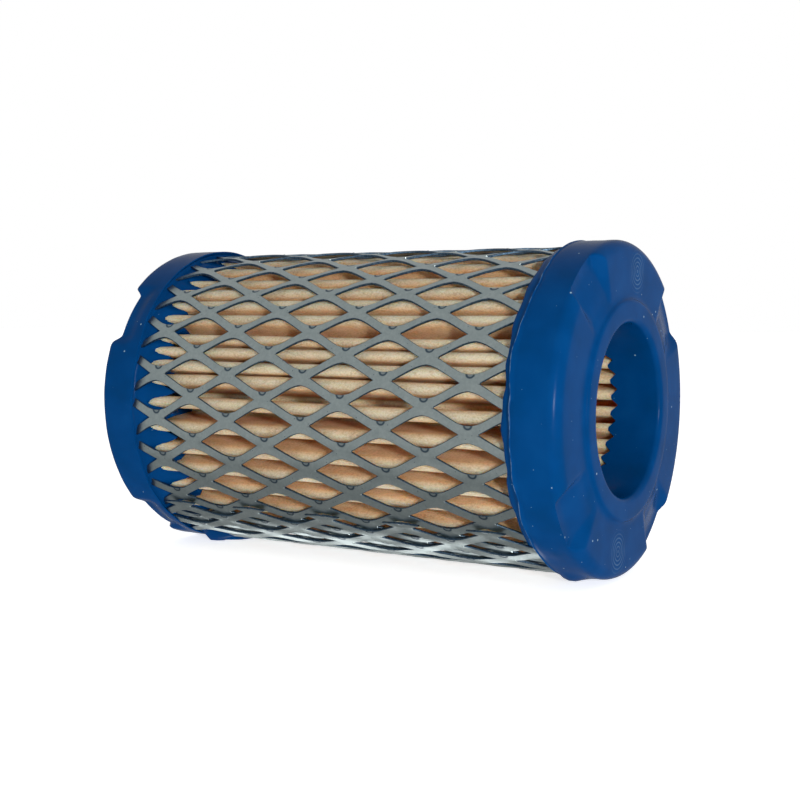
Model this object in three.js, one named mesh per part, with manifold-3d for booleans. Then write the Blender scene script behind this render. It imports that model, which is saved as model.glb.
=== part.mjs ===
// Air filter cartridge for a small engine, lying on its side.
// A star-folded paper element stands inside a rolled jacket of expanded steel, and both are
// potted at their ends in soft moulded caps. Air goes in through the jacket and the paper and
// leaves by the bore of the outlet cap.
// Millimetres. The cartridge's axis is X with the outlet at +X, and +Z is up.

import * as THREE from 'three';
import { mergeVertices } from 'three/addons/utils/BufferGeometryUtils.js';
import Module from 'manifold-3d';

const wasm = await Module();
wasm.setup();

// Overall sizes
const overallLength = 114;
const capDiameter = 70;
const clearance = 0.3; // between pieces that touch on the real cartridge

// Outlet cap
const boreDiameter = 36;
const bossWidth = 5; // the ring that seals against the carburettor elbow
const bossRise = 0.8;
const mouthChamfer = 1;
const outletSkirt = 11; // how far the cap reaches over the jacket, from the ring's face
const closedSkirt = 9;
const outletFloor = 7; // from the outer face to where the paper and the jacket end
const closedFloor = 5;
const skirtWall = 1.1;
const rimRadius = 2.2;
const edgeBreak = 0.4;
const capFacets = 28;

// Four radial notches in each cap's face
const notchCount = 4;
const outletNotchAngle = 54; // the middle of the first
const closedNotchAngle = 35;
const notchSpan = 23;
const outletNotchDepth = 2.2;
const closedNotchDepth = 2.6;
const notchLand = 1.6; // between the ring and the notches

// Pleated paper
const pleatCount = 36;
const paperThickness = 0.6;
const pleatHalfWidth = 0.9; // across a fold, outside
const boreStep = 0.5; // from the outlet's bore to the inner folds
const seamAngle = 215; // where the two ends of the paper meet

// Clip that joins the two ends of the paper
const clipDepth = 6;
const clipWall = 0.4;
const clipSideGap = 0.65;

// Jacket of expanded steel
const sheetThickness = 0.5;
const diamondLength = 19.66;
const diamondHeight = 9.92;
const knuckleLength = 4.36; // from an opening's tip to the next tip, along the axis
const knuckleHeight = 3.24; // from an opening to the one above, round the jacket
const archLength = 2.8; // the level part of an opening's top and bottom
const jacketBorder = 1.2;
const lapAngle = 52;
const lapEdgeAngle = -42;
const jogAngle = 16; // where the sheet starts to dip under its own start
const lapStart = 2;
const narrowestOpening = 1.5;
const knuckleX = -32.07; // one knuckle of an even row
const knuckleAngle = 19.78;

// What follows from them
const capRadius = capDiameter / 2;
const boreRadius = boreDiameter / 2;
const bossRadius = boreRadius + bossWidth;
const endX = overallLength / 2;
const outletFloorX = endX - outletFloor;
const closedFloorX = closedFloor - endX;
const coreStartX = closedFloorX + clearance; // the paper and the jacket reach from here
const coreEndX = outletFloorX - clearance; // to here
const jacketRadius = capRadius - skirtWall - clearance;
const lapRadius = jacketRadius - sheetThickness - clearance;
const paperOuter = lapRadius - sheetThickness - clearance;
const paperInner = boreRadius + boreStep;
const radians = THREE.MathUtils.degToRad;

// Angles run round X from -Y, which is 0, up to +Z, which is 90.
function onCircle(radius, angle) {
  return new THREE.Vector2(-radius * Math.cos(angle), radius * Math.sin(angle));
}

// Turns a shape drawn across the axis, in Y and Z, and extruded along Z, to run along X.
function alongAxis(shape, startX, depth) {
  const solid = new THREE.ExtrudeGeometry(shape, { depth, bevelEnabled: false });
  const turn = new THREE.Matrix4().makeBasis(
    new THREE.Vector3(0, 1, 0),
    new THREE.Vector3(0, 0, 1),
    new THREE.Vector3(1, 0, 0),
  );
  solid.applyMatrix4(turn);
  solid.translate(startX, 0, 0);
  return solid;
}

// Spins a profile of [radius, x] points round X, with a flat facet underneath.
function spunRoundAxis(profile, facets) {
  const corner = 1 / Math.cos(Math.PI / facets);
  const points = profile.map(([radius, x]) => new THREE.Vector2(radius * corner, x));
  const solid = new THREE.LatheGeometry(points, facets);
  solid.rotateY(Math.PI / facets);
  solid.rotateZ(-Math.PI / 2);
  return solid;
}

function toSolid(geometry) {
  const bare = geometry.clone();
  bare.deleteAttribute('normal');
  bare.deleteAttribute('uv');
  const merged = mergeVertices(bare, 1e-4);
  const mesh = new wasm.Mesh({
    numProp: 3,
    vertProperties: new Float32Array(merged.attributes.position.array),
    triVerts: new Uint32Array(merged.index.array),
  });
  return new wasm.Manifold(mesh);
}

function toGeometry(solid) {
  const mesh = solid.getMesh();
  const geometry = new THREE.BufferGeometry();
  geometry.setAttribute('position', new THREE.BufferAttribute(mesh.vertProperties, 3));
  geometry.setIndex(new THREE.BufferAttribute(mesh.triVerts, 1));
  return geometry;
}

// Quarter of a circle from the rim's side round to its face.
function rimArc(faceX, side) {
  const steps = 3;
  const points = [];
  for (let i = 0; i <= steps; i++) {
    const angle = (i / steps) * (Math.PI / 2);
    const radius = capRadius - rimRadius * (1 - Math.cos(angle));
    points.push([radius, faceX - side * rimRadius * (1 - Math.sin(angle))]);
  }
  return points;
}

// The notches are sectors that start outside the ring and run out through the rim.
function cutNotches(cap, faceX, side, depth, firstAngle) {
  const inner = bossRadius + notchLand;
  const outer = capRadius * 1.2;
  const reach = 5;
  let solid = toSolid(cap);
  for (let i = 0; i < notchCount; i++) {
    const middle = radians(firstAngle + (i * 360) / notchCount);
    const half = radians(notchSpan / 2);
    const shape = new THREE.Shape([
      onCircle(inner, middle - half),
      onCircle(outer, middle - half),
      onCircle(outer, middle + half),
      onCircle(inner, middle + half),
    ]);
    const startX = side > 0 ? faceX - depth : faceX - reach;
    solid = solid.subtract(toSolid(alongAxis(shape, startX, depth + reach)));
  }
  return toGeometry(solid);
}

function outletCap() {
  const faceX = endX - bossRise;
  const skirtX = endX - outletSkirt;
  const pocketRadius = capRadius - skirtWall;
  const profile = [
    [boreRadius, outletFloorX],
    [pocketRadius, outletFloorX],
    [pocketRadius, skirtX],
    [capRadius - edgeBreak, skirtX],
    [capRadius, skirtX + edgeBreak],
    ...rimArc(faceX, 1),
    [bossRadius + bossRise, faceX],
    [bossRadius, endX],
    [boreRadius + mouthChamfer, endX],
    [boreRadius, endX - mouthChamfer],
    [boreRadius, outletFloorX],
  ];
  return cutNotches(spunRoundAxis(profile, capFacets), faceX, 1, outletNotchDepth, outletNotchAngle);
}

function closedCap() {
  const faceX = -endX;
  const skirtX = closedSkirt - endX;
  const pocketRadius = capRadius - skirtWall;
  const profile = [
    [0, faceX],
    ...rimArc(faceX, -1).reverse(),
    [capRadius, skirtX - edgeBreak],
    [capRadius - edgeBreak, skirtX],
    [pocketRadius, skirtX],
    [pocketRadius, closedFloorX],
    [0, closedFloorX],
  ];
  return cutNotches(spunRoundAxis(profile, capFacets), faceX, -1, closedNotchDepth, closedNotchAngle);
}

// One side of a fold: three points round its bend.
function foldPoints(radius, middle, halfWidth, bulge) {
  return [-1, 0, 1].map((step) => {
    const across = (step * halfWidth) / radius;
    return onCircle(radius - (step === 0 ? 0 : bulge), middle + across);
  });
}

// The paper is one folded strip: its outer face is drawn all the way round, and then its inner
// face on the way back. The ends stand side by side under the clip, below the outer folds.
function pleatedPaper() {
  const pitch = (2 * Math.PI) / pleatCount;
  const start = radians(seamAngle);
  const narrow = pleatHalfWidth - paperThickness;
  const bend = 0.3;
  const endRadius = paperOuter - clipWall - clearance;
  const outside = [onCircle(endRadius, start + pleatHalfWidth / paperOuter)];
  const inside = [onCircle(endRadius, start + narrow / paperOuter)];
  for (let i = 0; i < pleatCount; i++) {
    const valley = start + (i + 0.5) * pitch;
    const crest = start + (i + 1) * pitch;
    outside.push(...foldPoints(paperInner + paperThickness, valley, narrow, -bend / 3));
    inside.push(...foldPoints(paperInner, valley, pleatHalfWidth, -bend));
    if (i < pleatCount - 1) {
      outside.push(...foldPoints(paperOuter, crest, pleatHalfWidth, bend));
      inside.push(...foldPoints(paperOuter - paperThickness, crest, narrow, bend / 3));
    }
  }
  outside.push(onCircle(endRadius, start - pleatHalfWidth / paperOuter));
  inside.push(onCircle(endRadius, start - narrow / paperOuter));
  return alongAxis(new THREE.Shape([...outside, ...inside.reverse()]), coreStartX, coreEndX - coreStartX);
}

// A folded steel strip that grips the two ends of the paper, open towards the bore.
function seamClip() {
  const inner = pleatHalfWidth + clipSideGap;
  const outer = inner + clipWall;
  const foot = paperOuter - clipDepth;
  const top = paperOuter;
  const across = radians(seamAngle);
  const section = [
    [outer, foot],
    [outer, top],
    [-outer, top],
    [-outer, foot],
    [-inner, foot],
    [-inner, top - clipWall],
    [inner, top - clipWall],
    [inner, foot],
  ];
  const out = onCircle(1, across);
  const side = new THREE.Vector2(-out.y, out.x);
  const points = section.map(([sideways, outward]) =>
    new THREE.Vector2(out.x * outward + side.x * sideways, out.y * outward + side.y * sideways));
  return alongAxis(new THREE.Shape(points), coreStartX, coreEndX - coreStartX);
}

// Keeps the part of half an opening that lies between the sheet's two end borders.
function clippedHalf(points) {
  let kept = points;
  for (const [side, limit] of [[-1, coreStartX + jacketBorder], [1, coreEndX - jacketBorder]]) {
    const inside = (point) => side * (point.x - limit) <= 0;
    const next = [];
    kept.forEach((point, i) => {
      const before = kept[(i + kept.length - 1) % kept.length];
      if (inside(point) !== inside(before)) {
        next.push(before.clone().lerp(point, (limit - before.x) / (point.x - before.x)));
      }
      if (inside(point)) {
        next.push(point);
      }
    });
    kept = next;
  }
  const width = Math.max(...kept.map((point) => point.x)) - Math.min(...kept.map((point) => point.x));
  if (kept.length < 3 || width < narrowestOpening) {
    return [];
  }
  while (kept[0].x > kept[1].x) {
    kept.push(kept.shift());
  }
  return kept;
}

// One row's line along the sheet, from end to end, with its openings' halves cut into the band
// that lies on the given side of it.
function rowLine(row, side) {
  const openings = [];
  if (row.cut) {
    const tip = (diamondLength - knuckleLength) / 2;
    const flat = archLength / 2;
    const top = (diamondHeight - knuckleHeight) / 2;
    const columns = Math.ceil(overallLength / diamondLength);
    for (let column = -columns; column <= columns; column++) {
      const u = knuckleX + row.shift + column * diamondLength;
      const half = [[-tip, 0], [-flat, top], [flat, top], [tip, 0]];
      const outline = half.map(([du, dv]) => new THREE.Vector2(u + du, row.v + side * dv));
      openings.push(...clippedHalf(outline));
    }
  }
  return [new THREE.Vector2(coreStartX, row.v), ...openings, new THREE.Vector2(coreEndX, row.v)];
}

// The flat band of mesh between two rows, open where it meets the bands beside it.
function flatBand(below, above) {
  const shape = new THREE.Shape([...rowLine(below, 1), ...rowLine(above, -1).reverse()]);
  const band = new THREE.ExtrudeGeometry(shape, { depth: sheetThickness, bevelEnabled: false });
  const from = band.attributes.position;
  const kept = [];
  for (let i = 0; i < from.count; i += 3) {
    const corners = [i, i + 1, i + 2];
    const isJoint = (row) => row.cut && corners.every((k) => Math.abs(from.getY(k) - row.v) < 1e-4);
    if (!isJoint(below) && !isJoint(above)) {
      corners.forEach((k) => kept.push(from.getX(k), from.getY(k), from.getZ(k)));
    }
  }
  return kept;
}

// The sheet is made flat, with u along the axis and v round it, and then rolled. It starts at the
// outer free edge of the lap, goes all the way round and ends under its own start.
function expandedJacket() {
  const rowHeight = diamondHeight / 2;
  const turn = 2 * Math.PI * jacketRadius;
  const sheetWidth = turn * (1 + lapAngle / 360);
  const evenRow = ((lapEdgeAngle - knuckleAngle + 360) / 360) * turn;
  const room = rowHeight - knuckleHeight / 2 + jacketBorder;
  const rows = [];
  for (let i = -Math.floor((evenRow - room) / rowHeight); ; i++) {
    const v = evenRow + i * rowHeight;
    if (v > sheetWidth - room) {
      break;
    }
    rows.push({ v, shift: i % 2 === 0 ? diamondLength / 2 : 0, cut: true });
  }
  rows.unshift({ v: rows[0].v - room, cut: false });
  rows.push({ v: rows.at(-1).v + room, cut: false });
  const corners = rows.slice(1).flatMap((above, i) => flatBand(rows[i], above));
  const jacket = new THREE.BufferGeometry();
  jacket.setAttribute('position', new THREE.Float32BufferAttribute(corners, 3));
  const position = jacket.attributes.position;
  for (let i = 0; i < position.count; i++) {
    const degrees = (position.getY(i) / turn) * 360;
    const tuck = THREE.MathUtils.smoothstep(degrees, 360 - jogAngle, 360 - lapStart);
    const outer = THREE.MathUtils.lerp(jacketRadius, lapRadius, tuck);
    const place = onCircle(outer - position.getZ(i), radians(lapEdgeAngle - degrees));
    position.setXYZ(i, position.getX(i), place.x, place.y);
  }
  return mergeVertices(jacket, 1e-4);
}

function named(name, geometry, color, roughness, metalness) {
  const material = new THREE.MeshStandardMaterial({ color, roughness, metalness });
  const mesh = new THREE.Mesh(geometry, material);
  mesh.name = name;
  return mesh;
}

const group = new THREE.Group();
group.add(
  named('outlet_end_cap', outletCap(), 0x0a4a86, 0.45, 0),
  named('closed_end_cap', closedCap(), 0x0a4a86, 0.45, 0),
  named('pleated_paper_element', pleatedPaper(), 0xcaa77c, 0.9, 0),
  named('paper_seam_clip', seamClip(), 0x8d9696, 0.45, 1),
  named('expanded_metal_jacket', expandedJacket(), 0x7d8a8a, 0.45, 1),
);

export default group;
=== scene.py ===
# An air filter cartridge for a small engine, lying on its side: pleated paper inside a rolled
# jacket of expanded steel, with both ends potted in blue moulded caps. Metres; the axis is X,
# the outlet is at +X, and the pieces follow in the order in which the cartridge is put together.
import math
import random

import bmesh
import bpy
from mathutils import Matrix, Vector, noise


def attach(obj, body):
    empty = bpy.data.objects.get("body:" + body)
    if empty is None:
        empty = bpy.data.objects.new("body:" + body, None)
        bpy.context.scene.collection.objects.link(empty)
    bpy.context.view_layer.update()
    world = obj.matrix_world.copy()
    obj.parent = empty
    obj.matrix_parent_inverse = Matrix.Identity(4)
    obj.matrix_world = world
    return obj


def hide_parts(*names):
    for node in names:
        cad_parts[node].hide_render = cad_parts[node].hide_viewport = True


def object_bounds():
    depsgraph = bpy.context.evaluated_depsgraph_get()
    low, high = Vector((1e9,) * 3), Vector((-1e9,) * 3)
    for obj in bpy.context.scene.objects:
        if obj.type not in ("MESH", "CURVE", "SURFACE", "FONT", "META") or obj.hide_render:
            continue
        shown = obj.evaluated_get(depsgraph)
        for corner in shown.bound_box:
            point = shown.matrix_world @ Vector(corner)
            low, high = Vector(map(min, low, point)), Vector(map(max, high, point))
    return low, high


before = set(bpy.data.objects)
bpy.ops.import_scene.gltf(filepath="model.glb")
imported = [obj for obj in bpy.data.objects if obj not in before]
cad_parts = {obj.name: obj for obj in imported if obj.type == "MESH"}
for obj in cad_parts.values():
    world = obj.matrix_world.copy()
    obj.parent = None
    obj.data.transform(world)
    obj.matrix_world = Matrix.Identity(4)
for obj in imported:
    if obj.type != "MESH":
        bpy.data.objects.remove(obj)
cad_low, cad_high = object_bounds()
mm = 0.001

# Camera at the eye of someone who looks at the cartridge lying on a table, a little from the
# outlet's side. It is made first, so that everything else is judged through it.
eye_azimuth = math.radians(31.1)
eye_elevation = math.radians(3.97)
eye_distance = 291 * mm
looked_at = Vector((1.4 * mm, 0, 0.2 * mm))
level = math.cos(eye_elevation)
eye_back = Vector((math.sin(eye_azimuth) * level, -math.cos(eye_azimuth) * level, math.sin(eye_elevation)))
lens = bpy.data.cameras.new("camera")
lens.lens = 57.42
lens.sensor_width = 36
camera = bpy.data.objects.new("camera", lens)
camera.location = looked_at + eye_back * eye_distance
camera.rotation_euler = eye_back.to_track_quat("Z", "Y").to_euler()
bpy.context.scene.collection.objects.link(camera)
bpy.context.scene.camera = camera
bpy.context.scene.view_settings.view_transform = "Standard"


# Pleated paper element. Resin-cured cellulose filter paper, scored, folded into a star and
# joined into a tube. The folds lean and bunch a little between the two ends, where they are held.
paper_folds = 36
paper_seam_angle = math.radians(215)
paper_outer = 32.6 * mm
paper_inner = 18.5 * mm
paper_half_length = 51 * mm
paper_thickness = 0.45 * mm
crest_bend = 1.35 * mm
sweep = math.radians(2.6)
inner_bend = 0.7 * mm
most_of_gap = 0.38  # of the space to the next crest that a crest's bend may take
half_crest = 4.4  # degrees from a crest to the open fold beside it
bow_wave = 2.2  # radians of a fold's sideways wave, from the middle to an end
paper_steps = 26
# The folds have slipped together on the front, and stand evenly round the rest of the tube.
crest_angles = [-37, -28, -19, -9.6, 0, 9, 15.6, 21.3, 26.5, 35.7, 43, 50, 57]
crest_angles += [57 + (215 - 57) * i / 14 for i in range(1, 15)]
crest_angles += [215 + (323 - 215) * i / 10 for i in range(1, 10)]


def linear(code):
    """Turns an sRGB hex colour into the linear colour that a shader takes."""
    channels = [int(code[i:i + 2], 16) / 255 for i in (1, 3, 5)]
    return (*[c / 12.92 if c <= 0.04045 else ((c + 0.055) / 1.055) ** 2.4 for c in channels], 1)


def add_node(tree, kind, inputs=None, **settings):
    """Adds a shader node: settings are its properties, and inputs are values or sockets to link."""
    new = tree.nodes.new(kind)
    for name, value in settings.items():
        setattr(new, name, value)
    for name, value in (inputs or {}).items():
        if isinstance(value, bpy.types.NodeSocket):
            tree.links.new(value, new.inputs[name])
        else:
            new.inputs[name].default_value = value
    return new


def colour_steps(tree, factor, stops):
    """A colour ramp from (position, hex colour) stops."""
    ramp = add_node(tree, "ShaderNodeValToRGB", {"Fac": factor})
    while len(ramp.color_ramp.elements) < len(stops):
        ramp.color_ramp.elements.new(0.5)
    for element, (position, code) in zip(ramp.color_ramp.elements, stops):
        element.position = position
        element.color = linear(code)
    return ramp.outputs["Color"]


def round_axis(x, radius, angle):
    """A point round the cartridge's axis: angle 0 is -Y, and a quarter turn is +Z."""
    return Vector((x, -radius * math.cos(angle), radius * math.sin(angle)))


def finish_piece(name, bm, material, smooth_below=40):
    """Makes the object of a finished mesh, with its normals outward and its sharp edges kept."""
    bmesh.ops.recalc_face_normals(bm, faces=bm.faces)
    for face in bm.faces:
        face.smooth = True
    sharp = math.radians(smooth_below)
    for edge in bm.edges:
        edge.smooth = len(edge.link_faces) == 2 and edge.calc_face_angle(0) < sharp
    mesh = bpy.data.meshes.new(name)
    bm.to_mesh(mesh)
    bm.free()
    mesh.materials.append(material)
    piece = bpy.data.objects.new(name, mesh)
    bpy.context.scene.collection.objects.link(piece)
    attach(piece, "root")
    return piece


def filter_paper():
    """Cured cellulose filter paper: matte and fuzzy, and light comes through it. Its colour by depth in the
    folds, palest on the crests, is painted light and shade.
    """
    material = bpy.data.materials.new("cured_cellulose_filter_paper")
    material.use_nodes = True
    tree = material.node_tree
    tree.nodes.clear()
    place = add_node(tree, "ShaderNodeTexCoord").outputs["Object"]
    flat = add_node(tree, "ShaderNodeVectorMath", {0: place, 1: (0, 1, 1)}, operation="MULTIPLY")
    radius = add_node(tree, "ShaderNodeVectorMath", {0: flat.outputs[0]}, operation="LENGTH")
    depth = add_node(tree, "ShaderNodeMapRange",
                     {"Value": radius.outputs["Value"], "From Min": paper_inner, "From Max": paper_outer})
    fibres = add_node(tree, "ShaderNodeMapping", {"Vector": place, "Scale": (0.7, 1, 1)})
    fuzz = add_node(tree, "ShaderNodeTexNoise",
                    {"Vector": fibres.outputs[0], "Scale": 1 / (0.38 * mm), "Detail": 5, "Roughness": 0.75})
    blotch = add_node(tree, "ShaderNodeTexNoise", {"Vector": place, "Scale": 1 / (5 * mm), "Detail": 3})
    tone = add_node(tree, "ShaderNodeMath", {0: fuzz.outputs["Fac"], 1: 1.1, 2: -0.2},
                    operation="MULTIPLY_ADD")
    tone = add_node(tree, "ShaderNodeMath", {0: blotch.outputs["Fac"], 1: 0.35, 2: tone.outputs[0]},
                    operation="MULTIPLY_ADD")
    # The colour by depth in the folds is painted light and shade: bright warm tones deep in the folds stand
    # in for light bounced between them.
    fold_light_and_shade = colour_steps(tree, depth.outputs[0],
                          [(0, "#ecd8b8"), (0.1, "#f4d4ac"), (0.3, "#ffc49a"),
                           (0.6, "#ffd0a6"), (0.9, "#dab086"), (0.985, "#cac2ac")])
    grain = colour_steps(tree, tone.outputs[0],
                         [(0.3, "#c6bab0"), (0.5, "#ece6de"), (0.72, "#ffffff")])
    colour = add_node(tree, "ShaderNodeMix", {"Factor": 1, "A": fold_light_and_shade, "B": grain},
                      data_type="RGBA", blend_type="MULTIPLY")
    bump = add_node(tree, "ShaderNodeBump",
                    {"Height": fuzz.outputs["Fac"], "Strength": 0.9, "Distance": 0.25 * mm})
    shader = add_node(tree, "ShaderNodeBsdfPrincipled",
                      {"Base Color": colour.outputs["Result"], "Roughness": 0.92, "IOR": 1.45,
                       "Specular IOR Level": 0.25, "Subsurface Weight": 0.85, "Subsurface Scale": 1.5 * mm,
                       "Subsurface Radius": (1, 0.55, 0.3), "Normal": bump.outputs[0]})
    add_node(tree, "ShaderNodeOutputMaterial", {"Surface": shader.outputs[0]})
    return material


def crest_share(angle):
    """How near an angle is to a crest: 1 on it, and 0 in the open fold beside it."""
    degrees = math.degrees(angle)
    away = min(abs((degrees - crest + 180) % 360 - 180) for crest in crest_angles)
    return max(0, 1 - away / half_crest)


def fold_outline():
    """The folds as (fold, radius, angle) points across the tube, from crest to inner bend and out."""
    inner_middle = paper_inner + inner_bend
    points = []
    middles = []
    for i, crest in enumerate(crest_angles):
        after = crest_angles[(i + 1) % paper_folds]
        after += 360 if after < crest else 0
        middles.append((math.radians(crest), math.radians(after), math.radians(after - crest)))
    for i, (crest, after, gap) in enumerate(middles):
        bend = min(crest_bend, most_of_gap * paper_outer * min(gap, middles[i - 1][2]))
        next_gap = middles[(i + 1) % paper_folds][2]
        next_bend = min(crest_bend, most_of_gap * paper_outer * min(gap, next_gap))
        evenly = crest_start + (i + 0.5) * pitch
        inner = 0.6 * (crest + after) / 2 + 0.4 * evenly - sweep * math.sin(crest - 0.35)
        outer_middle = paper_outer - bend
        for k in range(9):
            turn = math.radians(-90 + 22.5 * k)
            radius = outer_middle + bend * math.cos(turn)
            points.append((i, radius, crest + bend * math.sin(turn) / radius))
        down = crest + bend / outer_middle
        next_middle = paper_outer - next_bend
        up = after - next_bend / next_middle
        inner_half = inner_bend / inner_middle
        for k in range(1, 5):
            points.append((i, outer_middle + (inner_middle - outer_middle) * k / 5,
                           down + (inner - inner_half - down) * k / 5))
        for k in range(7):
            turn = math.radians(-90 + 30 * k)
            radius = inner_middle - inner_bend * math.cos(turn)
            points.append((i, radius, inner + inner_bend * math.sin(turn) / radius))
        for k in range(1, 5):
            points.append(((i + 1) % paper_folds, inner_middle + (next_middle - inner_middle) * k / 5,
                           inner + inner_half + (up - inner - inner_half) * k / 5))
    return points


chance = random.Random(7)
folds = [{"lean": chance.uniform(-0.3, 0.3), "bow": chance.uniform(-0.5, 0.5),
          "phase": chance.uniform(0, 6.3), "rise": chance.uniform(-0.5, 0.1) * mm}
         for _ in range(paper_folds)]
pitch = 2 * math.pi / paper_folds
crest_start = math.radians(sum(crest_angles) / paper_folds) - pitch * (paper_folds - 1) / 2
bm = bmesh.new()
outline = fold_outline()
ring = [bm.verts.new((-paper_half_length, 0, 0)) for _ in outline]
for a, b in zip(ring, ring[1:] + ring[:1]):
    bm.edges.new((a, b))
columns = [ring]
for step in range(paper_steps):
    last = columns[-1]
    edges = [bm.edges.get((a, b)) for a, b in zip(last, last[1:] + last[:1])]
    made = bmesh.ops.extrude_edge_only(bm, edges=edges)["geom"]
    made_verts = {e for e in made if isinstance(e, bmesh.types.BMVert)}
    columns.append([next(e.other_vert(v) for e in v.link_edges if e.other_vert(v) in made_verts)
                    for v in last])
for step, column in enumerate(columns):
    along = -1 + 2 * step / paper_steps
    x = along * paper_half_length
    free = 1 - along ** 4
    for vert, (i, radius, angle) in zip(column, outline):
        fold = folds[i]
        depth = (radius - paper_inner) / (paper_outer - paper_inner)
        sway = fold["lean"] + fold["bow"] * math.sin(bow_wave * along + fold["phase"])
        swayed = angle + math.radians(sway) * depth ** 1.5 * free
        vert.co = round_axis(x, radius + fold["rise"] * depth ** 2 * free, swayed)
bmesh.ops.recalc_face_normals(bm, faces=bm.faces)
bmesh.ops.solidify(bm, geom=bm.faces, thickness=paper_thickness)
paper = finish_piece("pleated_paper", bm, filter_paper(), 60)
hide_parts("pleated_paper_element")


# Seam clip. A strip of thin galvanised steel folded over the two ends of the paper and pressed
# shut, which makes the paper a tube.
clip_depth = 6 * mm
clip_half_width = 1.75 * mm
clip_wall = 0.4 * mm
clip_top = paper_outer + 0.35 * mm
clip_bend = 0.6 * mm


def pressed_steel():
    """Galvanised steel strip: a dull grey metal with a fine rolled grain along it."""
    material = bpy.data.materials.new("galvanised_steel_strip")
    material.use_nodes = True
    tree = material.node_tree
    tree.nodes.clear()
    place = add_node(tree, "ShaderNodeTexCoord").outputs["Object"]
    drawn = add_node(tree, "ShaderNodeMapping", {"Vector": place, "Scale": (0.08, 1, 1)})
    grain = add_node(tree, "ShaderNodeTexNoise", {"Vector": drawn.outputs[0], "Scale": 1 / (0.3 * mm)})
    colour = colour_steps(tree, grain.outputs["Fac"], [(0.3, "#7f8888"), (0.7, "#a9b0b0")])
    bump = add_node(tree, "ShaderNodeBump",
                    {"Height": grain.outputs["Fac"], "Strength": 0.25, "Distance": 0.05 * mm})
    shader = add_node(tree, "ShaderNodeBsdfPrincipled",
                      {"Base Color": colour, "Metallic": 1, "Roughness": 0.4, "Normal": bump.outputs[0]})
    add_node(tree, "ShaderNodeOutputMaterial", {"Surface": shader.outputs[0]})
    return material


bm = bmesh.new()
for sideways, radius in ((-clip_half_width, clip_top - clip_depth), (-clip_half_width, clip_top),
                         (clip_half_width, clip_top), (clip_half_width, clip_top - clip_depth)):
    bm.verts.new(round_axis(-paper_half_length, radius, paper_seam_angle + sideways / radius))
bm.verts.ensure_lookup_table()
section = [bm.edges.new((bm.verts[i], bm.verts[i + 1])) for i in range(3)]
made = bmesh.ops.extrude_edge_only(bm, edges=section)["geom"]
far_end = [v for v in made if isinstance(v, bmesh.types.BMVert)]
bmesh.ops.translate(bm, vec=(2 * paper_half_length, 0, 0), verts=far_end)
bmesh.ops.recalc_face_normals(bm, faces=bm.faces)
folds_of_clip = [e for e in bm.edges if len(e.link_faces) == 2]
bmesh.ops.bevel(bm, geom=folds_of_clip, offset=clip_bend, segments=4, profile=0.5, affect="EDGES",
                material=-1)
bmesh.ops.solidify(bm, geom=bm.faces, thickness=clip_wall)
clip = finish_piece("seam_clip", bm, pressed_steel())
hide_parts("paper_seam_clip")


# Jacket. Galvanised sheet, slit and stretched into diamonds, sheared to length and rolled round
# the paper. Its outer free edge laps over its start, low on the front.
sheet_thickness = 0.55 * mm
diamond_length = 19.66 * mm
opening_half = 7.65 * mm
opening_top = 3.4 * mm
opening_bottom = 3.2 * mm
jacket_radius = 33.75 * mm
jacket_ends = (-51 * mm, 46.2 * mm)
knuckle_x = -32.07 * mm
knuckle_angle = 19.78
row_angle = 8.46
degree = 2 * math.pi * jacket_radius / 360
row_height = row_angle * degree
lap_edge_angle = -42
lap_rows = 6
lap_lift = 0.85 * mm
lap_ramp = 24
edge_spring = 0.25 * mm
edge_spring_reach = 9
dent_radius = 1.15 * mm
drop_size = 0.34 * mm
twist = 0.2 * mm
twist_reach = 2 * mm
opening_slope = math.tan(math.radians(28.1))
edge_round = 0.12 * mm


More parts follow.
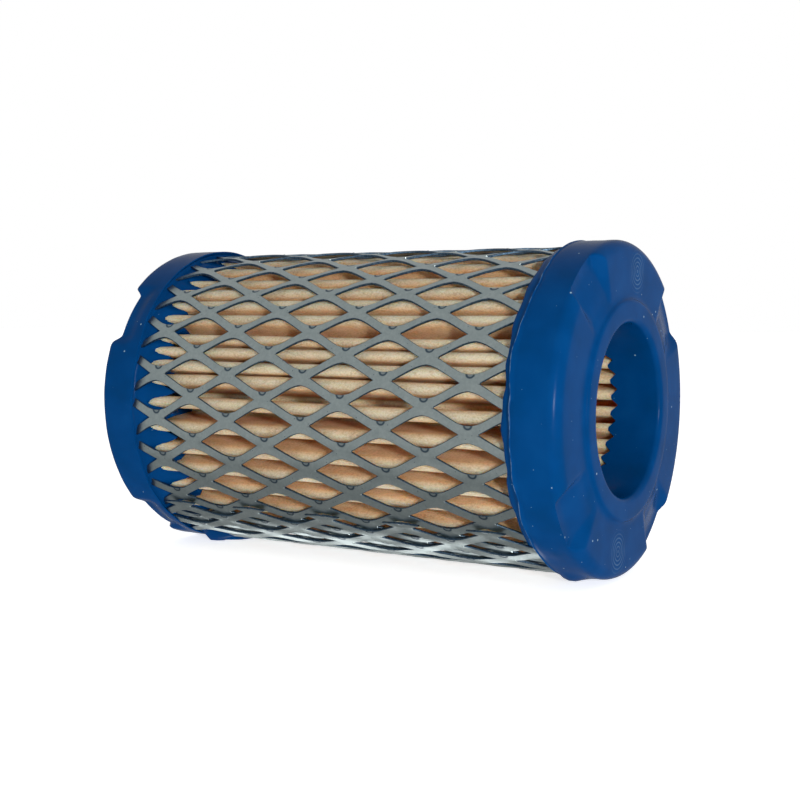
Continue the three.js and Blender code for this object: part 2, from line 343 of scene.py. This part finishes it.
def galvanised_steel():
    """Galvanised expanded steel: flat zinc grey with a satin sheen, faint spangle and dark pits.

    The half-moon dents that the slitting knife leaves under each opening follow the flat sheet: they are
    bumped, and the dark crescent and darker hollow in each are painted shade."""
    material = bpy.data.materials.new("galvanised_expanded_steel")
    material.use_nodes = True
    tree = material.node_tree
    tree.nodes.clear()
    place = add_node(tree, "ShaderNodeTexCoord").outputs["Object"]
    spangle = add_node(tree, "ShaderNodeTexVoronoi", {"Vector": place, "Scale": 1 / (1.6 * mm)})
    cloud = add_node(tree, "ShaderNodeTexNoise", {"Vector": place, "Scale": 1 / (0.6 * mm), "Detail": 4})
    pits = add_node(tree, "ShaderNodeTexVoronoi", {"Vector": place, "Scale": 1 / (1.3 * mm)})
    tone = add_node(tree, "ShaderNodeMath", {0: spangle.outputs["Color"], 1: 0.15, 2: 0.2},
                    operation="MULTIPLY_ADD")
    tone = add_node(tree, "ShaderNodeMath", {0: cloud.outputs["Fac"], 1: 0.6, 2: tone.outputs[0]},
                    operation="MULTIPLY_ADD")
    zinc = colour_steps(tree, tone.outputs[0], [(0.35, "#97a4a5"), (0.6, "#a4b0b0"), (0.8, "#b0bbba")])
    pits_and_dent_shade = add_node(tree, "ShaderNodeMapRange",
                     {"Value": pits.outputs["Distance"], "From Min": 0.05, "From Max": 0.1,
                      "To Min": 1, "To Max": 0}).outputs[0]
    flat = add_node(tree, "ShaderNodeUVMap", uv_map="flat_sheet").outputs["UV"]
    for across, up in ((0, 0.5), (0.5, 0)):
        in_cells = add_node(tree, "ShaderNodeMapping",
                            {"Vector": flat, "Location": (across, up, 0)}, vector_type="POINT")
        cell_share = add_node(tree, "ShaderNodeVectorMath", {0: in_cells.outputs[0]}, operation="FRACTION")
        from_middle = add_node(tree, "ShaderNodeVectorMath",
                               {0: cell_share.outputs[0], 1: (0.5, 0.5, 0)}, operation="SUBTRACT")
        in_metres = add_node(tree, "ShaderNodeVectorMath",
                             {0: from_middle.outputs[0], 1: (diamond_length, 2 * row_height, 0)},
                             operation="MULTIPLY")
        below = add_node(tree, "ShaderNodeVectorMath",
                         {0: in_metres.outputs[0], 1: (0, opening_bottom, 0)}, operation="SUBTRACT")
        below = add_node(tree, "ShaderNodeVectorMath", {0: below.outputs[0], 1: (1, 1.2, 0)},
                         operation="MULTIPLY")
        away = add_node(tree, "ShaderNodeVectorMath", {0: below.outputs[0]}, operation="LENGTH")
        rim = add_node(tree, "ShaderNodeMath", {0: away.outputs["Value"], 1: 0.7 * dent_radius},
                       operation="SUBTRACT")
        rim = add_node(tree, "ShaderNodeMath", {0: rim.outputs[0]}, operation="ABSOLUTE")
        # The crescent round each dent and the hollow inside it are darkened as painted shade.
        dent_shade = add_node(tree, "ShaderNodeMapRange",
                        {"Value": rim.outputs[0], "From Min": 0.12 * dent_radius,
                         "From Max": 0.3 * dent_radius, "To Min": 1, "To Max": 0})
        hollow_shade = add_node(tree, "ShaderNodeMapRange",
                          {"Value": away.outputs["Value"], "From Min": 0.55 * dent_radius,
                           "From Max": 0.7 * dent_radius, "To Min": 0.3, "To Max": 0})
        dent_shade = add_node(tree, "ShaderNodeMath", {0: dent_shade.outputs[0], 1: hollow_shade.outputs[0]},
                        operation="MAXIMUM")
        pits_and_dent_shade = add_node(tree, "ShaderNodeMath", {0: pits_and_dent_shade, 1: dent_shade.outputs[0]},
                         operation="MAXIMUM").outputs[0]
    # Dark pits, and the painted shade in and round each knife dent, share one dark blue-grey.
    colour = add_node(tree, "ShaderNodeMix", {"Factor": pits_and_dent_shade, "A": zinc, "B": linear("#4c5c68")},
                      data_type="RGBA")
    height = add_node(tree, "ShaderNodeMath", {0: pits_and_dent_shade, 1: -2.5, 2: cloud.outputs["Fac"]},
                      operation="MULTIPLY_ADD")
    bump = add_node(tree, "ShaderNodeBump",
                    {"Height": height.outputs[0], "Strength": 0.3, "Distance": 0.06 * mm})
    shader = add_node(tree, "ShaderNodeBsdfPrincipled",
                      {"Base Color": colour.outputs["Result"], "Metallic": 1, "Roughness": 0.36,
                       "Normal": bump.outputs[0]})
    add_node(tree, "ShaderNodeOutputMaterial", {"Surface": shader.outputs[0]})
    return material


def shaded_sheared_steel():
    """The cut edges of the sheet, where the zinc is torn away: uneven blue-grey steel, painted darker than
    bare steel as shade on the edge walls, so the strands get dark outlines.
    """
    material = bpy.data.materials.new("shaded_sheared_steel_edge")
    material.use_nodes = True
    tree = material.node_tree
    tree.nodes.clear()
    place = add_node(tree, "ShaderNodeTexCoord").outputs["Object"]
    tear = add_node(tree, "ShaderNodeTexNoise", {"Vector": place, "Scale": 1 / (0.4 * mm), "Detail": 3})
    colour = colour_steps(tree, tear.outputs["Fac"], [(0.35, "#3a5066"), (0.7, "#62788a")])
    bump = add_node(tree, "ShaderNodeBump",
                    {"Height": tear.outputs["Fac"], "Strength": 0.3, "Distance": 0.08 * mm})
    shader = add_node(tree, "ShaderNodeBsdfPrincipled",
                      {"Base Color": colour, "Metallic": 1, "Roughness": 0.42, "Normal": bump.outputs[0]})
    add_node(tree, "ShaderNodeOutputMaterial", {"Surface": shader.outputs[0]})
    return material


def opening_outline():
    """Points round one opening. The sheet is rolled downwards, so its foot is at +Y here."""
    points = []
    for side, height in ((1, opening_bottom), (-1, opening_top)):
        drop = opening_half * opening_slope - height
        for share in (-1, -0.74, -0.5, -0.3, -0.14, 0, 0.14, 0.3, 0.5, 0.74):
            straight = opening_half * opening_slope * (1 - abs(share))
            blend = max(0, 1 - abs(share) / 0.42)
            points.append((side * share * opening_half, side * (straight - drop * blend ** 2)))
    return points


def cell_outline():
    """The diamond along the middle of the strands, which neighbouring cells have in common."""
    points = []
    for side in (1, -1):
        for share in (-1, -0.8, -0.6, -0.4, -0.2, 0, 0.2, 0.4, 0.6, 0.8):
            points.append((side * share * diamond_length / 2, side * (1 - abs(share)) * row_height))
    return points


# One cell of the mesh is a ring of faces between an opening and the middle of the strands, which
# the stretching has tilted a little.
bm = bmesh.new()
opening = [bm.verts.new((x, y, -twist * max(-1, min(1, y / twist_reach)))) for x, y in opening_outline()]
border = [bm.verts.new((x, y, 0)) for x, y in cell_outline()]
for i in range(len(opening)):
    after = (i + 1) % len(opening)
    bm.faces.new((opening[i], opening[after], border[after], border[i]))
cell = bpy.data.meshes.new("cell")
bm.to_mesh(cell)
bm.free()

even_row = (lap_edge_angle - knuckle_angle + 360) * degree
sheet_width = (360 + lap_rows * row_angle) * degree
bm = bmesh.new()
first_row = -int(even_row / row_height) - 1
last_row = int((sheet_width - even_row) / row_height) + 1
columns_each_way = 4
for row in range(first_row, last_row + 1):
    for column in range(-columns_each_way, columns_each_way + 1):
        x = knuckle_x + (column + (0.5 if row % 2 == 0 else 0)) * diamond_length
        before = len(bm.verts)
        bm.from_mesh(cell)
        bm.verts.ensure_lookup_table()
        bmesh.ops.translate(bm, vec=(x, even_row + row * row_height, 0), verts=bm.verts[before:])
bpy.data.meshes.remove(cell)
bmesh.ops.remove_doubles(bm, verts=bm.verts, dist=0.02 * mm)
for edge_place, facing in (((jacket_ends[0], 0, 0), (-1, 0, 0)), ((jacket_ends[1], 0, 0), (1, 0, 0)),
                           ((0, 0, 0), (0, -1, 0)), ((0, sheet_width, 0), (0, 1, 0))):
    bmesh.ops.bisect_plane(bm, geom=bm.verts[:] + bm.edges[:] + bm.faces[:], dist=1e-7,
                           plane_co=edge_place, plane_no=facing, clear_outer=True)
bmesh.ops.solidify(bm, geom=bm.faces, thickness=sheet_thickness)
bm.normal_update()
flat_sheet = bm.loops.layers.uv.new("flat_sheet")
# The strand walls take the dark edge material, whose darkness is painted shade.
for face in bm.faces:
    face.material_index = 1 if abs(face.normal.z) < 0.5 else 0
    for loop in face.loops:
        x, y = loop.vert.co.xy
        loop[flat_sheet].uv = ((x - knuckle_x) / diamond_length, (y - even_row) / (2 * row_height))
# Drops of zinc have run into the left corner of each opening, where the sheet hung to drain.
for row in range(first_row, last_row + 1):
    for column in range(-columns_each_way, columns_each_way + 1):
        x = knuckle_x + (column + (0.5 if row % 2 == 0 else 0)) * diamond_length - opening_half
        y = even_row + row * row_height
        if jacket_ends[0] + mm < x < jacket_ends[1] - mm and mm < y < sheet_width - mm:
            place = Matrix.Translation((x, y, -0.05 * mm)) @ Matrix.Diagonal((1.2, 0.7, 0.6, 1))
            bmesh.ops.create_icosphere(bm, subdivisions=1, radius=drop_size, matrix=place)


def smooth_step(value, low, high):
    """Rises evenly from 0 at the low value to 1 at the high one."""
    share = min(1, max(0, (value - low) / (high - low)))
    return share * share * (3 - 2 * share)


for vert in bm.verts:
    degrees = vert.co.y / degree
    over = 1 - smooth_step(degrees, lap_rows * row_angle, lap_rows * row_angle + lap_ramp)
    spring = edge_spring * (1 - smooth_step(degrees, 0, edge_spring_reach))
    radius = jacket_radius + lap_lift * over + spring + vert.co.z
    vert.co = round_axis(vert.co.x, radius, math.radians(lap_edge_angle - degrees))
jacket = finish_piece("expanded_steel_jacket", bm, galvanised_steel(), 30)
jacket.data.materials.append(shaded_sheared_steel())
# The rounded edges take the dark edge material too: painted shade that draws dark outlines along the strands.
shaded_edge_bevel = jacket.modifiers.new("sheared_edges", "BEVEL")
shaded_edge_bevel.width = edge_round
shaded_edge_bevel.segments = 2
shaded_edge_bevel.material = 1
shaded_edge_bevel.limit_method = "ANGLE"
shaded_edge_bevel.angle_limit = math.radians(50)
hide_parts("expanded_metal_jacket")


# Closed end cap. Blue plastisol, poured into a shallow round mould, in which the paper and the
# jacket were stood while it cured, so that it creeps up between the folds.
cap_radius = 35 * mm
cap_steps = 480
closed_notch_angle = math.radians(35)
outlet_notch_angle = math.radians(54)
outlet_face = 56.2 * mm
milling_pitch = 0.85 * mm
milling_radius = 29 * mm
milling_half = (3 * mm, 5.5 * mm)
notch_half = math.radians(11.5)
notch_wall = math.radians(2.6)
notch_relief = 0.9 * mm
closed_face = -57 * mm
closed_skirt = -48.2 * mm
closed_notch_depth = 2.6 * mm
crest_creep = -45 * mm
fold_creep = -38.6 * mm
sag_angle = math.radians(-82)
sag_half_width = math.radians(10)
sag_height = 3.7 * mm


def plastisol():
    """Cured plastisol: a soft, dense blue vinyl with a smooth skin and dust specks, and a broken pale line
    along the lip that is a painted highlight.

    The outlet's face keeps the rings that the milling cutter left in the mould, between notches; they are
    bumped, and their crests have a painted sheen."""
    material = bpy.data.materials.new("blue_plastisol")
    material.use_nodes = True
    tree = material.node_tree
    tree.nodes.clear()
    place = add_node(tree, "ShaderNodeTexCoord").outputs["Object"]
    cloud = add_node(tree, "ShaderNodeTexNoise", {"Vector": place, "Scale": 1 / (7 * mm), "Detail": 4})
    skin = add_node(tree, "ShaderNodeTexNoise", {"Vector": place, "Scale": 1 / (1.2 * mm), "Detail": 6})
    colour = colour_steps(tree, cloud.outputs["Fac"],
                          [(0.3, "#003260"), (0.5, "#003567"), (0.7, "#02396c")])
    for spacing, size, code in ((4 * mm, 0.06, "#7d98a8"), (2.7 * mm, 0.045, "#5a7c96")):
        specks = add_node(tree, "ShaderNodeTexVoronoi", {"Vector": place, "Scale": 1 / spacing})
        dust = add_node(tree, "ShaderNodeMapRange",
                        {"Value": specks.outputs["Distance"], "From Min": size * 0.7, "From Max": size,
                         "To Min": 1, "To Max": 0})
        colour = add_node(tree, "ShaderNodeMix",
                          {"Factor": dust.outputs[0], "A": colour, "B": linear(code)},
                          data_type="RGBA").outputs["Result"]
    # A broken pale line along the skirt's lip is a painted highlight, standing in for a glint.
    on_lip = add_node(tree, "ShaderNodeAttribute", attribute_name="lip").outputs["Fac"]
    glint_breaks = add_node(tree, "ShaderNodeMapRange",
                      {"Value": skin.outputs["Fac"], "From Min": 0.42, "From Max": 0.62,
                       "To Min": 0, "To Max": 0.4})
    painted_lip_glint = add_node(tree, "ShaderNodeMath", {0: on_lip, 1: glint_breaks.outputs[0]}, operation="MULTIPLY")
    colour = add_node(tree, "ShaderNodeMix",
                      {"Factor": painted_lip_glint.outputs[0], "A": colour, "B": linear("#8fb0c4")},
                      data_type="RGBA").outputs["Result"]
    height = skin.outputs["Fac"]
    for quarter in (0, 2):
        lobe = outlet_notch_angle + math.radians(45 + 90 * quarter)
        from_lobe = add_node(tree, "ShaderNodeVectorMath",
                             {0: place, 1: round_axis(outlet_face, milling_radius, lobe)},
                             operation="SUBTRACT")
        away = add_node(tree, "ShaderNodeVectorMath", {0: from_lobe.outputs[0]}, operation="LENGTH")
        phase = add_node(tree, "ShaderNodeMath", {0: away.outputs["Value"], 1: 2 * math.pi / milling_pitch},
                         operation="MULTIPLY")
        rings = add_node(tree, "ShaderNodeMath", {0: phase.outputs[0]}, operation="SINE")
        near = add_node(tree, "ShaderNodeMapRange",
                        {"Value": away.outputs["Value"], "From Min": milling_half[0],
                         "From Max": milling_half[1], "To Min": 1, "To Max": 0})
        patchy_rings = add_node(tree, "ShaderNodeMath", {0: near.outputs[0], 1: cloud.outputs["Fac"]},
                        operation="MULTIPLY")
        shown = add_node(tree, "ShaderNodeMath", {0: rings.outputs[0], 1: patchy_rings.outputs[0]},
                         operation="MULTIPLY")
        height = add_node(tree, "ShaderNodeMath", {0: shown.outputs[0], 1: 1.2, 2: height},
                          operation="MULTIPLY_ADD").outputs[0]
        # The ring crests are painted lighter: a painted sheen.
        line = add_node(tree, "ShaderNodeMath", {0: shown.outputs[0], 1: 0.5, 2: -0.06},
                        operation="MULTIPLY_ADD", use_clamp=True)
        colour = add_node(tree, "ShaderNodeMix",
                          {"Factor": line.outputs[0], "A": colour, "B": linear("#6f94ac")},
                          data_type="RGBA").outputs["Result"]
    bump = add_node(tree, "ShaderNodeBump", {"Height": height, "Strength": 0.15, "Distance": 0.12 * mm})
    shader = add_node(tree, "ShaderNodeBsdfPrincipled",
                      {"Base Color": colour, "Roughness": 0.22, "IOR": 1.5,
                       "Specular IOR Level": 0.025, "Normal": bump.outputs[0]})
    add_node(tree, "ShaderNodeOutputMaterial", {"Surface": shader.outputs[0]})
    return material


def notch_share(angle, first):
    """How much of a notch's depth a cap has at an angle: 1 on its floor and 0 on the face."""
    away = abs((angle - first + math.pi / 4) % (math.pi / 2) - math.pi / 4)
    return 1 - smooth_step(away, notch_half - notch_wall, notch_half + notch_wall)


def spun_cap(profile):
    """Spins a cap's profile of (x, radius) points round the axis into a closed skin."""
    bm = bmesh.new()
    verts = [bm.verts.new((x, -radius, 0)) for x, radius in profile]
    edges = [bm.edges.new((verts[i], verts[i + 1])) for i in range(len(verts) - 1)]
    bmesh.ops.spin(bm, geom=verts + edges, cent=(0, 0, 0), axis=(1, 0, 0), angle=-2 * math.pi,
                   steps=cap_steps, use_merge=True)
    bmesh.ops.remove_doubles(bm, verts=bm.verts, dist=0.005 * mm)
    return bm


def arc(x, radius, size, start, stop, steps):
    """Points on a quarter or so of a circle about (x, radius), between two angles in degrees."""
    points = []
    for i in range(steps + 1):
        turn = math.radians(start + (stop - start) * i / steps)
        points.append((x + size * math.cos(turn), radius + size * math.sin(turn)))
    return points


def turn_of(point):
    """The angle of a point round the cartridge's axis."""
    return math.atan2(point.z, -point.y)


def wavy(angle, size, seed):
    """An uneven pour line: a slow wave and a finer one round the cap."""
    ring = Vector((math.cos(angle), math.sin(angle), seed))
    return size * (noise.noise(ring * 2.5) + 0.5 * noise.noise(ring * 8))


def sag_at(angle):
    """Where the compound ran out through the jacket, low on the front, it set in a low bulge."""
    return sag_height * math.exp(-((angle - sag_angle) / sag_half_width) ** 2)


closed_profile = [(closed_face, 0), (closed_face, 8 * mm), (closed_face, 16 * mm), (closed_face, 24 * mm)]
closed_profile += [(closed_face, 24.6 * mm), (closed_face, 28 * mm), (closed_face, 31 * mm)]
closed_profile += arc(closed_face + 1.4 * mm, cap_radius - 1.4 * mm, 1.4 * mm, 180, 90, 7)
closed_profile += [(x * mm, cap_radius) for x in (-53.6, -52.6, -51.6, -50.6, -49.6)]
closed_profile += [(closed_skirt, cap_radius), (closed_skirt + 0.1 * mm, cap_radius - 0.25 * mm)]
closed_profile += [(closed_skirt - 0.5 * mm, cap_radius - 0.8 * mm), (closed_skirt - 0.4 * mm, 33.9 * mm)]
closed_profile += [(closed_skirt + 0.5 * mm, 33.4 * mm), (crest_creep - 1 * mm, 33.2 * mm)]
closed_profile += [(crest_creep - 0.3 * mm, 32.9 * mm), (fold_creep, 31.6 * mm)]
closed_profile += [(fold_creep - 0.4 * mm, 29 * mm)]
closed_profile += [(-43.5 * mm, 26 * mm), (-44 * mm, 22 * mm), (-45 * mm, 12 * mm), (-45 * mm, 0)]
bm = spun_cap(closed_profile)
for vert in bm.verts:
    x, radius, angle = vert.co.x, math.hypot(vert.co.y, vert.co.z), turn_of(vert.co)
    if x < closed_skirt - 1 * mm and radius > 24.3 * mm:
        share = notch_share(angle, closed_notch_angle)
        vert.co.x = max(x, closed_face + closed_notch_depth * share)
        relief = notch_relief * share * smooth_step(-x, 49 * mm, 53 * mm)
        dip = wavy(angle + x * 60, 0.12 * mm, 21)
        vert.co = round_axis(vert.co.x, radius - (relief + dip if radius > 33 * mm else 0), angle)
    elif x > crest_creep and radius > 28 * mm:
        crest = crest_share(angle)
        ragged = wavy(angle, 1.2 * mm, 3) if radius < 32 * mm else 0
        x += (crest_creep - fold_creep) * crest + ragged
        vert.co = round_axis(x, radius + (sag_at(angle) if radius > 31 * mm else 0), angle)
    elif x > closed_skirt + 0.3 * mm and radius > 32 * mm:
        vert.co = round_axis(x, radius + sag_at(angle), angle)
    elif x > closed_skirt - 1 * mm and radius > 32 * mm:
        vert.co.x += wavy(angle, 0.6 * mm, 1)
closed_cap = finish_piece("closed_cap", bm, plastisol(), 50)
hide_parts("closed_end_cap")


# Outlet end cap. The same plastisol with the outlet hole through it. A raised ring round the
# hole seals against the engine's air elbow, and four notches cross the face outside the ring.
ring_top = 57 * mm
bore = 18 * mm
ring_radius = 23 * mm
outlet_skirt = 46.4 * mm
outlet_notch_depth = 2.2 * mm
drip_angle = math.radians(-73)
drip_half_width = math.radians(6)
drip_x = 48.6 * mm
drip_reach = 2.4 * mm
drip_height = 1.1 * mm
pour_line = 46 * mm
pour_scallop = 1.6 * mm

outlet_profile = [(pour_line, bore), (48 * mm, bore), (50 * mm, bore), (52 * mm, bore), (54 * mm, bore)]
outlet_profile += arc(ring_top - 1.2 * mm, bore + 1.2 * mm, 1.2 * mm, -90, 0, 6)
outlet_profile += [(ring_top, 20 * mm), (ring_top, 21 * mm)]
outlet_profile += arc(ring_top - 0.8 * mm, ring_radius - 0.8 * mm, 0.8 * mm, 0, 70, 4)
outlet_profile += [(outlet_face, ring_radius + 0.4 * mm), (outlet_face, 24.3 * mm), (outlet_face, 24.7 * mm)]
outlet_profile += [(outlet_face, 26.5 * mm), (outlet_face, 28.5 * mm), (outlet_face, 30.5 * mm)]
outlet_profile += arc(outlet_face - 2.6 * mm, cap_radius - 2.6 * mm, 2.6 * mm, 0, 90, 10)
outlet_profile += [(x * mm, cap_radius) for x in (52.6, 51.6, 50.4, 49.2, 48, 47.2)]
outlet_profile += [(outlet_skirt + 0.24 * mm, cap_radius - 0.08 * mm)]
outlet_profile += [(outlet_skirt + 0.08 * mm, cap_radius + 0.08 * mm)]
outlet_profile += [(outlet_skirt, cap_radius + 0.12 * mm), (outlet_skirt - 0.18 * mm, cap_radius - 0.05 * mm)]
outlet_profile += [(outlet_skirt - 0.1 * mm, cap_radius - 0.35 * mm), (outlet_skirt - 0.3 * mm, 34.35 * mm)]
outlet_profile += [(outlet_skirt - 1 * mm, 34.2 * mm), (outlet_skirt - 1.8 * mm, 34 * mm)]
outlet_profile += [(outlet_skirt - 2.1 * mm, 33.5 * mm), (outlet_skirt - 2.1 * mm, 32.5 * mm)]
outlet_profile += [(pour_line - 0.8 * mm, 30 * mm), (pour_line, 26 * mm), (pour_line, 22 * mm)]
outlet_profile += [(pour_line, 19 * mm), (pour_line, bore)]
bm = spun_cap(outlet_profile)
# The skirt's lip is a thin bead, and the material paints a broken pale line, a painted highlight, on the
# points that this layer marks.
lip = bm.verts.layers.float.new("lip")
for vert in bm.verts:
    x, radius, angle = vert.co.x, math.hypot(vert.co.y, vert.co.z), turn_of(vert.co)
    if x > outlet_face - 4 * mm and radius > 24.5 * mm:
        ramp = 0.12 + 0.88 * smooth_step(radius, 25 * mm, 34 * mm)
        vert.co.x = min(x, outlet_face - outlet_notch_depth * ramp * notch_share(angle, outlet_notch_angle))
    elif x > outlet_skirt + 0.5 * mm and radius > 34 * mm:
        round_drip = (angle - drip_angle) / drip_half_width
        drip = drip_height * math.exp(-round_drip ** 2 - ((x - drip_x) / drip_reach) ** 2)
        vert.co = round_axis(x, radius + drip + wavy(angle + x * 50, 0.1 * mm, 31), angle)
    elif x < outlet_skirt + 0.5 * mm and radius > 34.3 * mm:
        vert[lip] = 1 if radius > cap_radius + 0.1 * mm else 0
        vert.co.x += wavy(angle, 0.8 * mm, 5)
    elif x < outlet_skirt + 0.5 * mm and radius > 32 * mm:
        vert.co.x += wavy(angle, 1.2 * mm, 9)
    elif x < pour_line + 0.5 * mm:
        vert.co.x += pour_scallop * (crest_share(angle) - 0.6) + wavy(angle, 0.5 * mm, 9)
outlet_cap = finish_piece("outlet_cap", bm, closed_cap.data.materials[0], 50)
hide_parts("outlet_end_cap")


# Table top: a plain white sheet of opal acrylic under the cartridge, lit softly from below.
def table_top():
    """Opal white acrylic, matte and faintly glowing."""
    material = bpy.data.materials.new("opal_white_acrylic")
    material.use_nodes = True
    shader = material.node_tree.nodes["Principled BSDF"]
    shader.inputs["Base Color"].default_value = linear("#f4f4f4")
    shader.inputs["Roughness"].default_value = 0.7
    shader.inputs["Specular IOR Level"].default_value = 0.1
    shader.inputs["Emission Color"].default_value = (1, 1, 1, 1)
    shader.inputs["Emission Strength"].default_value = 0.7
    return material


bm = bmesh.new()
bmesh.ops.create_grid(bm, x_segments=1, y_segments=1, size=3)
bmesh.ops.translate(bm, vec=(0, 0, cad_low.z - 0.4 * mm), verts=bm.verts)
mesh = bpy.data.meshes.new("table")
bm.to_mesh(mesh)
bm.free()
mesh.materials.append(table_top())
table = bpy.data.objects.new("table", mesh)
bpy.context.scene.collection.objects.link(table)
table.visible_glossy = False


# Light: a white room with a dimmer floor and a white backdrop, and one lamp to the right of the eye
# and a little above it. A bright card low behind the cartridge glints on the lowest strands.
wall_light = 0.56
floor_light = 0.3
card_direction = (-0.516, 0.41, -0.752)
card_light = 6

room = bpy.data.worlds.new("room")
room.use_nodes = True
tree = room.node_tree
tree.nodes.clear()
backdrop = add_node(tree, "ShaderNodeBackground", {"Color": (1, 1, 1, 1), "Strength": 1})
direction = add_node(tree, "ShaderNodeTexCoord").outputs["Generated"]
height = add_node(tree, "ShaderNodeSeparateXYZ", {0: direction}).outputs["Z"]
plain_walls = add_node(tree, "ShaderNodeMapRange",
                       {"Value": height, "From Min": -0.25, "From Max": -0.6,
                        "To Min": wall_light, "To Max": floor_light})
from_card = add_node(tree, "ShaderNodeVectorMath", {0: direction, 1: card_direction},
                     operation="DISTANCE")
card = add_node(tree, "ShaderNodeMapRange",
                {"Value": from_card.outputs["Value"], "From Min": 0.07, "From Max": 0.12,
                 "To Min": card_light, "To Max": 0})
strength = add_node(tree, "ShaderNodeMath", {0: card.outputs[0], 1: plain_walls.outputs[0]},
                    operation="ADD")
walls = add_node(tree, "ShaderNodeBackground", {"Color": (1, 1, 1, 1), "Strength": strength.outputs[0]})
seen = add_node(tree, "ShaderNodeLightPath").outputs["Is Camera Ray"]
mixed = add_node(tree, "ShaderNodeMixShader", {0: seen, 1: walls.outputs[0], 2: backdrop.outputs[0]})
add_node(tree, "ShaderNodeOutputWorld", {"Surface": mixed.outputs[0]})
bpy.context.scene.world = room

lamp_azimuth = math.radians(47)
lamp_elevation = math.radians(5.5)
lamp_distance = 450 * mm
level = math.cos(lamp_elevation)
toward_lamp = Vector((math.sin(lamp_azimuth) * level, -math.cos(lamp_azimuth) * level,
                      math.sin(lamp_elevation)))
data = bpy.data.lights.new("lamp", "AREA")
data.shape = "DISK"
data.size = 45 * mm
data.energy = 1.35
lamp = bpy.data.objects.new("lamp", data)
lamp.location = looked_at + toward_lamp * lamp_distance
lamp.rotation_euler = toward_lamp.to_track_quat("Z", "Y").to_euler()
bpy.context.scene.collection.objects.link(lamp)
